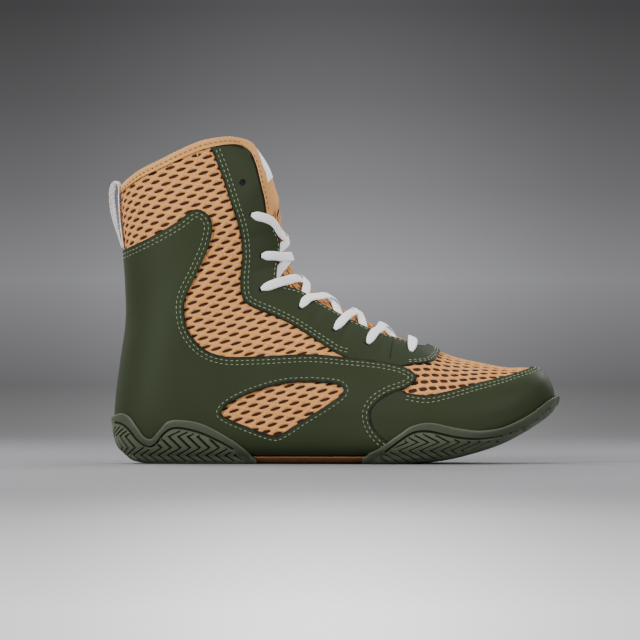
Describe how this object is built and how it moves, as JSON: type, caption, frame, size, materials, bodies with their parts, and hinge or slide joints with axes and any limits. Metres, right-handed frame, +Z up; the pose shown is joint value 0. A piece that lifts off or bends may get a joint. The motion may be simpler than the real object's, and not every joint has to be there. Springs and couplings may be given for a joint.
{
  "type": "boxing shoe",
  "caption": "High-cut lace-up boxing shoe for the right foot, with a hollow mesh upper, smooth overlays, a padded tongue and a thin cup sole.",
  "frame": {"origin": "centre of the bounding box on the floor plane", "axes": "+X towards the toe, +Y towards the inner side of the right foot, +Z up"},
  "size_m": [0.2933, 0.1062, 0.2125],
  "materials": {
    "mesh_fabric": "tan open knit mesh over a dark brown lining",
    "green_overlay": "matt dark green synthetic leather with a fine grain",
    "edge_tape": "tan folded edge tape with one stitch row",
    "tongue_fabric": "tan smooth textile over foam",
    "footbed": "dark textile over foam",
    "sole_rubber": "grey-green matt rubber",
    "arch_rubber": "tan brown matt rubber",
    "white_tape": "white woven tape",
    "lace_cord": "white flat woven lace"
  },
  "bodies": {
    "root": {"upper": "mesh_fabric", "quarter_overlay": "green_overlay", "eyestay": "green_overlay", "toe_cap": "green_overlay", "collar_binding": "edge_tape", "tongue": "tongue_fabric", "insole": "footbed", "outsole_heel": "sole_rubber", "outsole_forefoot": "sole_rubber", "arch_bridge": "arch_rubber", "pull_loop": "white_tape", "lace": "lace_cord"}
  },
  "joints": []
}
